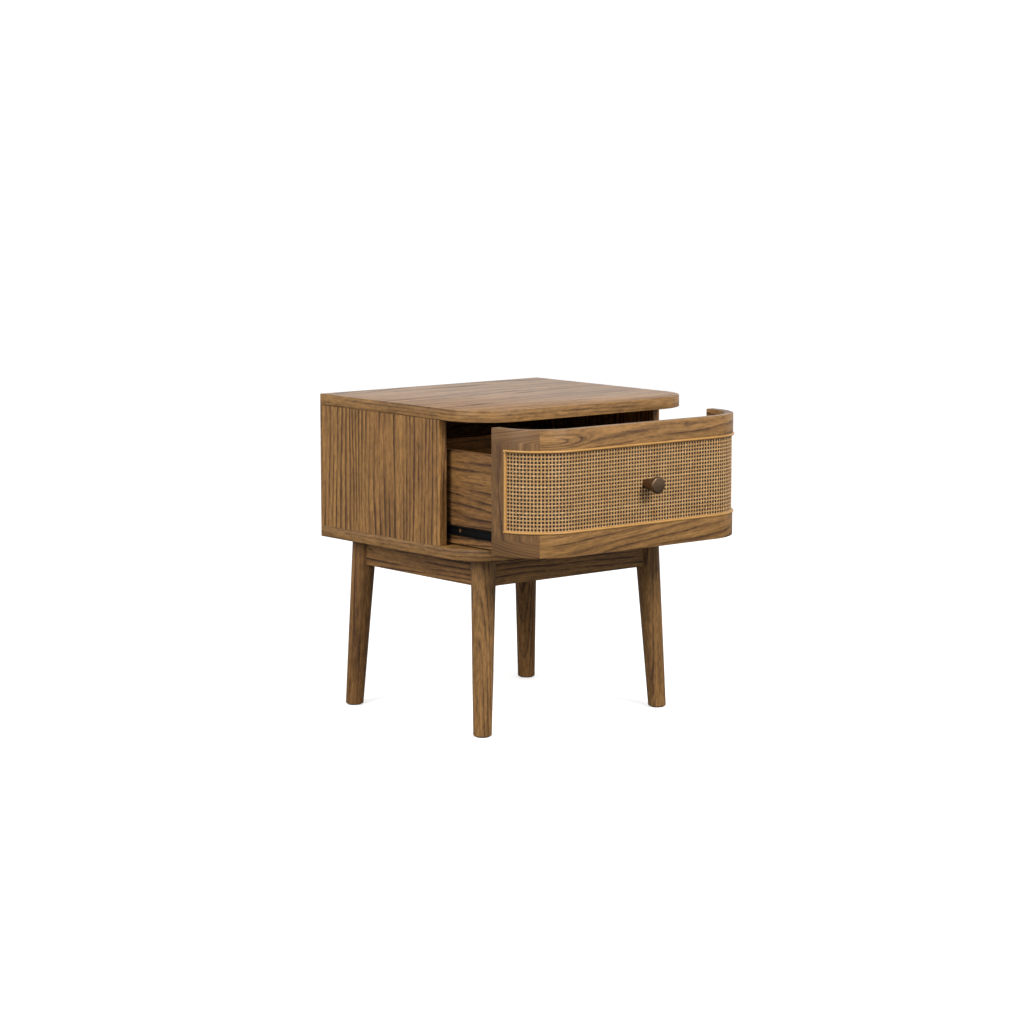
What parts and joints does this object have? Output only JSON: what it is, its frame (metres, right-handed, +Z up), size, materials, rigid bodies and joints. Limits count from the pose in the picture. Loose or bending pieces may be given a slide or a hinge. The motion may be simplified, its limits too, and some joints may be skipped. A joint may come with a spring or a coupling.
{
  "type": "nightstand",
  "caption": "Nightstand with a single cane-faced drawer that wraps two rounded front corners, on a splayed frame of round tapered legs.",
  "frame": {"origin": "on the floor, under the middle of the nightstand's box as it stands with the drawer partly open", "axes": "+Z up, -Y towards the drawer's front, +X to the right seen from the front"},
  "size_m": [0.4496, 0.5466, 0.5],
  "materials": {
    "case_veneer": "satin clear lacquer over walnut-toned veneer",
    "leg_wood": "satin clear lacquer",
    "front_veneer": "satin clear lacquer over bent veneer",
    "cane": "woven rattan cane, satin",
    "rattan_spline": "split rattan, satin",
    "dark_backing": "matt dark backing cloth",
    "drawer_wood": "sealed",
    "plain_wood": "unfinished beech",
    "back_board": "veneered board",
    "black_steel": "black electrophoretic coat",
    "zinc_steel": "zinc plated",
    "brass_screw": "yellow zinc",
    "ball_steel": "polished",
    "knob_bronze": "dark bronze, satin",
    "glide_plastic": "moulded"
  },
  "bodies": {
    "case": {"top_panel": "case_veneer", "bottom_panel": "case_veneer", "side_panel_left": "case_veneer", "side_panel_right": "case_veneer", "back_panel": "back_board", "case_dowels": "plain_wood", "back_panel_screws": "zinc_steel", "apron_front": "leg_wood", "apron_rear": "leg_wood", "apron_left": "leg_wood", "apron_right": "leg_wood", "leg_front_left": "leg_wood", "leg_front_right": "leg_wood", "leg_rear_left": "leg_wood", "leg_rear_right": "leg_wood", "corner_blocks": "plain_wood", "frame_screws": "zinc_steel", "apron_dowels": "plain_wood", "foot_glides": "glide_plastic", "slide_case_member_left": "black_steel", "slide_case_member_right": "black_steel", "slide_case_screws": "brass_screw"},
    "drawer": {"drawer_front_shell": "front_veneer", "cane_webbing": "cane", "cane_backing": "dark_backing", "cane_spline_top": "rattan_spline", "cane_spline_bottom": "rattan_spline", "cane_spline_left": "rattan_spline", "cane_spline_right": "rattan_spline", "knob": "knob_bronze", "knob_screw": "zinc_steel", "front_screws": "zinc_steel", "front_blocks": "plain_wood", "drawer_side_left": "drawer_wood", "drawer_side_right": "drawer_wood", "drawer_inner_front": "drawer_wood", "drawer_back": "drawer_wood", "drawer_bottom": "drawer_wood", "drawer_dowels": "plain_wood", "slide_drawer_member_left": "black_steel", "slide_drawer_member_right": "black_steel", "slide_drawer_screws": "brass_screw"},
    "cage_left": {"slide_cage_left": "zinc_steel", "slide_balls_left": "ball_steel"},
    "cage_right": {"slide_cage_right": "zinc_steel", "slide_balls_right": "ball_steel"}
  },
  "joints": [
    {"name": "drawer_slide", "type": "slide", "parent": "case", "child": "drawer", "axis": [0, -1, 0], "range_m": [-0.1225, 0.0875]},
    {"name": "cage_left_slide", "type": "slide", "parent": "case", "child": "cage_left", "axis": [0, -1, 0], "range_m": [-0.06125, 0.04375]},
    {"name": "cage_right_slide", "type": "slide", "parent": "case", "child": "cage_right", "axis": [0, -1, 0], "range_m": [-0.06125, 0.04375]}
  ],
  "couplings": [
    {"joint": "cage_left_slide", "follows": "drawer_slide", "ratio": 0.5},
    {"joint": "cage_right_slide", "follows": "drawer_slide", "ratio": 0.5}
  ]
}
